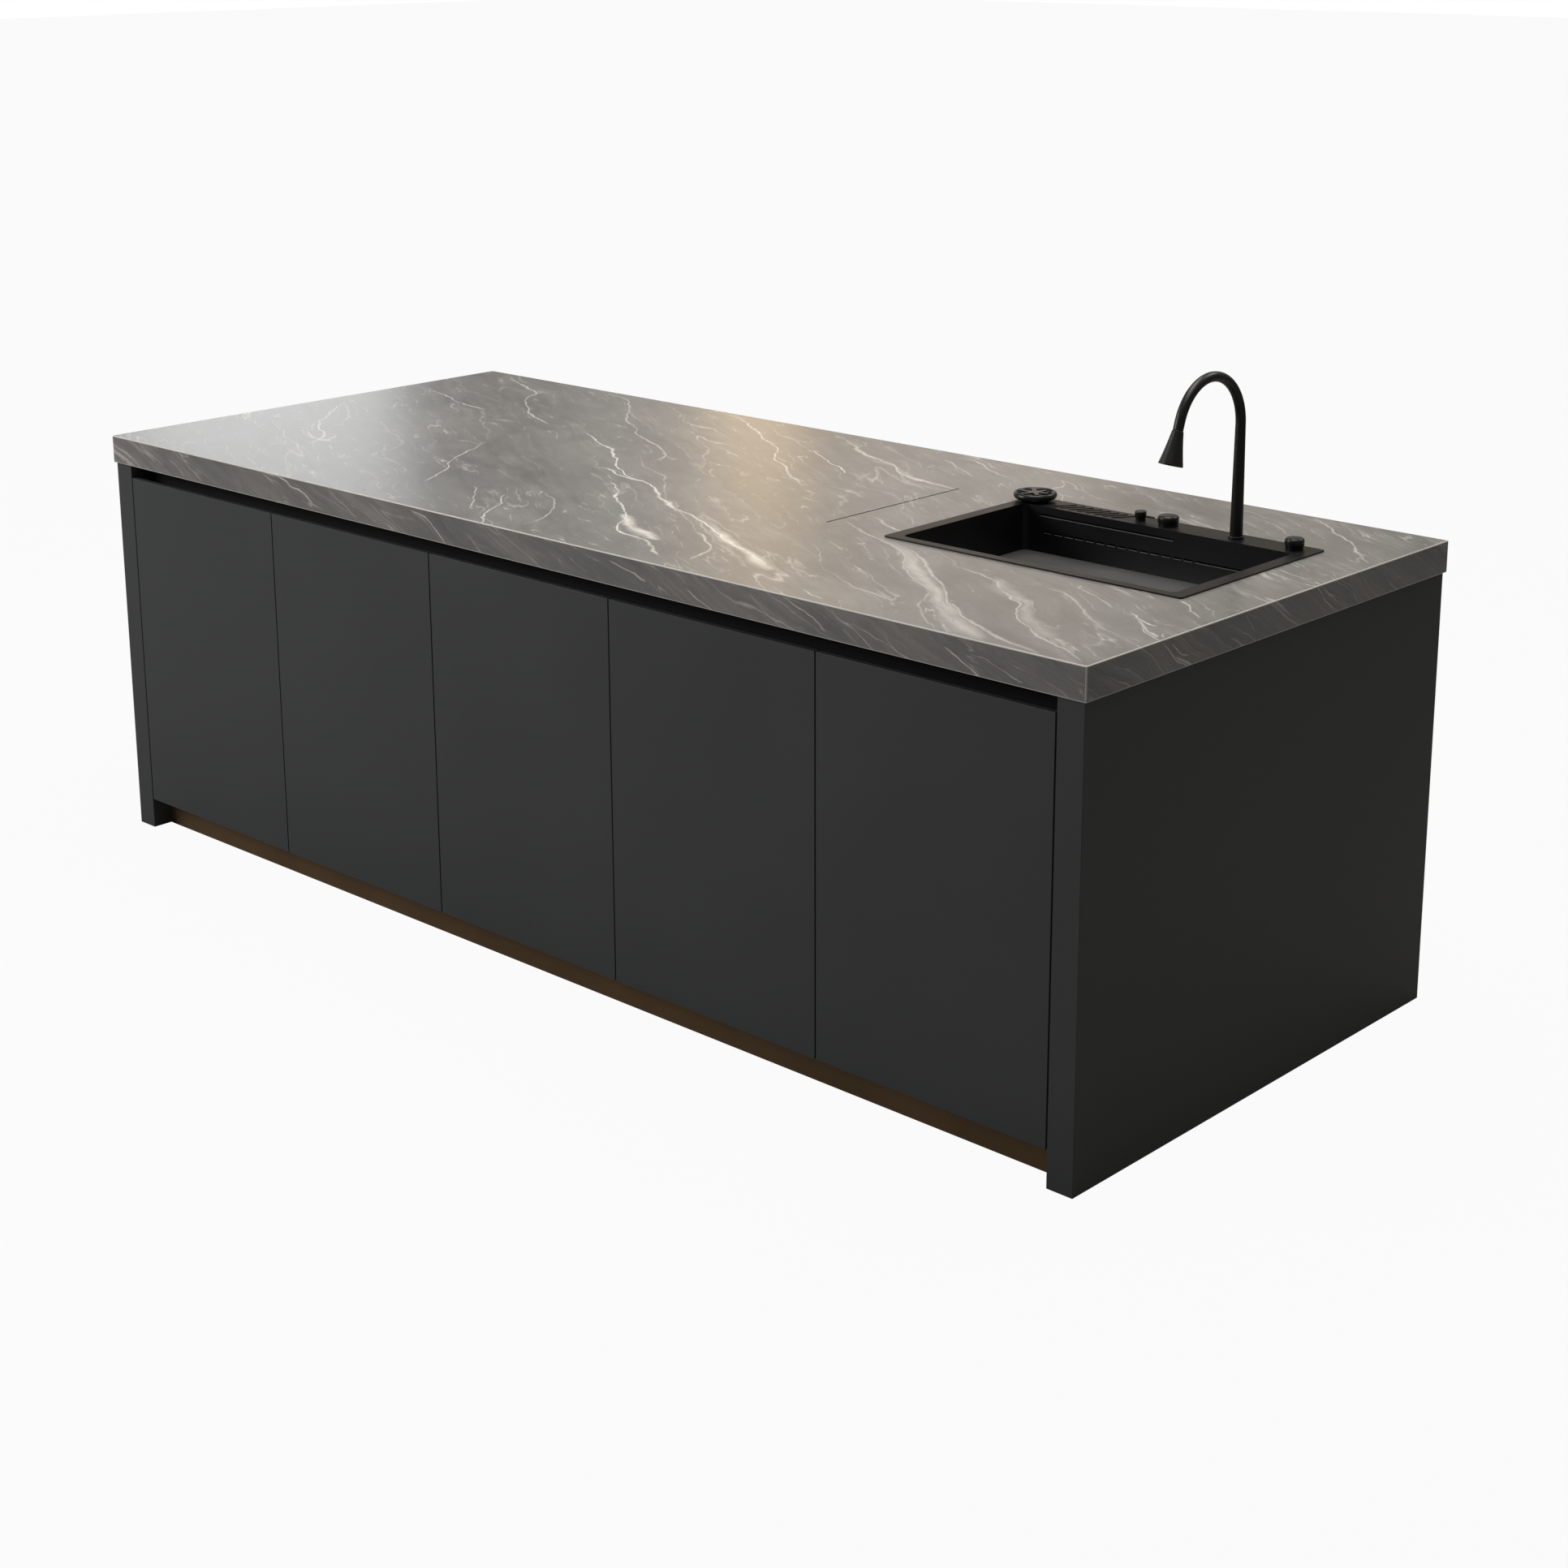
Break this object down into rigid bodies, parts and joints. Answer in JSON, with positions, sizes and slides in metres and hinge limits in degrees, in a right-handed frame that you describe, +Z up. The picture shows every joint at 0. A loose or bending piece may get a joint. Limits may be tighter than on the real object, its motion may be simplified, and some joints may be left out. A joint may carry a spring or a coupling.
{
  "type": "kitchen island unit",
  "caption": "Long kitchen island: handleless flat doors with a finger channel, mitred stone worktop, inset workstation sink with gooseneck tap.",
  "frame": {"origin": "centre of the footprint, on the floor", "axes": "+Z up, -Y the door side, +X along the run to the right seen from the doors (the sink end)"},
  "size_m": [2.66, 1.1, 1.2244],
  "materials": {
    "worktop_stone": "honed grey marble-look sintered stone with fine pale veins",
    "birch_ply": "raw plywood",
    "carcass_board": "dark grey melamine-faced chipboard",
    "finger_channel_black": "black anodised",
    "charcoal_matt": "super-matt charcoal lacquer on fibreboard",
    "bronze_plinth": "dark bronze anodised",
    "hinge_nickel": "nickel plated",
    "sink_black": "black coated stainless steel",
    "tray_grey": "dark grey coated stainless steel",
    "waste_steel": "polished",
    "trap_plastic": "moulded",
    "tap_black": "satin black coated brass",
    "rinser_gloss": "gloss black",
    "hose_rubber": "braided hose"
  },
  "bodies": {
    "cabinet": {"worktop_slab": "worktop_stone", "worktop_apron_front": "worktop_stone", "worktop_apron_back": "worktop_stone", "worktop_apron_left": "worktop_stone", "worktop_apron_right": "worktop_stone", "worktop_core": "birch_ply", "base_ladder": "birch_ply", "upright_left": "carcass_board", "upright_inner_left": "carcass_board", "upright_inner_right": "carcass_board", "upright_right": "carcass_board", "floor_left": "carcass_board", "floor_middle": "carcass_board", "floor_sink": "carcass_board", "back_board_left": "carcass_board", "back_board_middle": "carcass_board", "shelf_left": "carcass_board", "shelf_middle": "carcass_board", "finger_channel": "finger_channel_black", "end_panel_left": "charcoal_matt", "end_panel_right": "charcoal_matt", "back_panel_1": "charcoal_matt", "back_panel_2": "charcoal_matt", "back_panel_3": "charcoal_matt", "plinth_front": "bronze_plinth", "plinth_back": "bronze_plinth", "hinge_arm_1_lower": "hinge_nickel", "hinge_arm_1_upper": "hinge_nickel", "hinge_arm_2_lower": "hinge_nickel", "hinge_arm_2_upper": "hinge_nickel", "hinge_arm_3_lower": "hinge_nickel", "hinge_arm_3_upper": "hinge_nickel", "hinge_arm_4_lower": "hinge_nickel", "hinge_arm_4_upper": "hinge_nickel", "hinge_arm_5_lower": "hinge_nickel", "hinge_arm_5_upper": "hinge_nickel", "sink": "sink_black", "waterfall_duct": "sink_black", "waste_body": "waste_steel", "mixer_valve": "waste_steel", "trap": "trap_plastic", "tap_base": "tap_black", "rinser_body": "rinser_gloss"},
    "door_1": {"door_1": "charcoal_matt"},
    "door_2": {"door_2": "charcoal_matt"},
    "door_3": {"door_3": "charcoal_matt"},
    "door_4": {"door_4": "charcoal_matt"},
    "door_5": {"door_5": "charcoal_matt"},
    "draining_tray": {"draining_tray": "tray_grey"},
    "waste_plug": {"waste_plug": "tray_grey"},
    "spout": {"tap_spout": "tap_black"},
    "spray_head": {"spray_head": "tap_black", "spray_hose": "hose_rubber"},
    "rinser_press": {"rinser_press": "rinser_gloss"},
    "diverter_knob": {"diverter_knob": "tap_black"},
    "mixer_knob": {"mixer_knob": "tap_black"},
    "waste_knob": {"waste_knob": "tap_black"}
  },
  "joints": [
    {"name": "door_1_hinge", "type": "hinge", "parent": "cabinet", "child": "door_1", "pos_m": [-1.2685, -0.545, 0.44], "axis": [0, 0, -1], "range_deg": [0, 90]},
    {"name": "door_2_hinge", "type": "hinge", "parent": "cabinet", "child": "door_2", "pos_m": [-0.2555, -0.545, 0.44], "axis": [0, 0, 1], "range_deg": [0, 90]},
    {"name": "door_3_hinge", "type": "hinge", "parent": "cabinet", "child": "door_3", "pos_m": [-0.2525, -0.545, 0.44], "axis": [0, 0, -1], "range_deg": [0, 90]},
    {"name": "door_4_hinge", "type": "hinge", "parent": "cabinet", "child": "door_4", "pos_m": [0.2555, -0.545, 0.44], "axis": [0, 0, -1], "range_deg": [0, 90]},
    {"name": "door_5_hinge", "type": "hinge", "parent": "cabinet", "child": "door_5", "pos_m": [1.2685, -0.545, 0.44], "axis": [0, 0, 1], "range_deg": [0, 90]},
    {"name": "tray_lift", "type": "slide", "parent": "cabinet", "child": "draining_tray", "axis": [0, 0, 1], "range_m": [0, 0.085]},
    {"name": "plug_lift", "type": "slide", "parent": "cabinet", "child": "waste_plug", "axis": [0, 0, 1], "range_m": [0, 0.012]},
    {"name": "spout_swivel", "type": "hinge", "parent": "cabinet", "child": "spout", "pos_m": [1.04, 0.2935, 0.95], "axis": [0, 0, 1], "range_deg": [-90, 90]},
    {"name": "spray_head_pull", "type": "slide", "parent": "spout", "child": "spray_head", "axis": [0, -0.309, -0.9511], "range_m": [0, 0.12]},
    {"name": "rinser_press_down", "type": "slide", "parent": "cabinet", "child": "rinser_press", "axis": [0, 0, -1], "range_m": [0, 0.005], "stiffness_N_per_m": 400, "springref_m": -0.002},
    {"name": "diverter_turn", "type": "hinge", "parent": "cabinet", "child": "diverter_knob", "pos_m": [0.827, 0.2935, 0.91], "axis": [0, 0, 1], "range_deg": [0, 90]},
    {"name": "mixer_turn", "type": "hinge", "parent": "cabinet", "child": "mixer_knob", "pos_m": [0.89, 0.2935, 0.91], "axis": [0, 0, 1], "range_deg": [-60, 60]},
    {"name": "waste_knob_turn", "type": "hinge", "parent": "cabinet", "child": "waste_knob", "pos_m": [1.164, 0.2935, 0.91], "axis": [0, 0, 1], "range_deg": [0, 90]}
  ],
  "couplings": [
    {"joint": "waste_knob_turn", "follows": "plug_lift", "rad_per_m": 130.9}
  ]
}
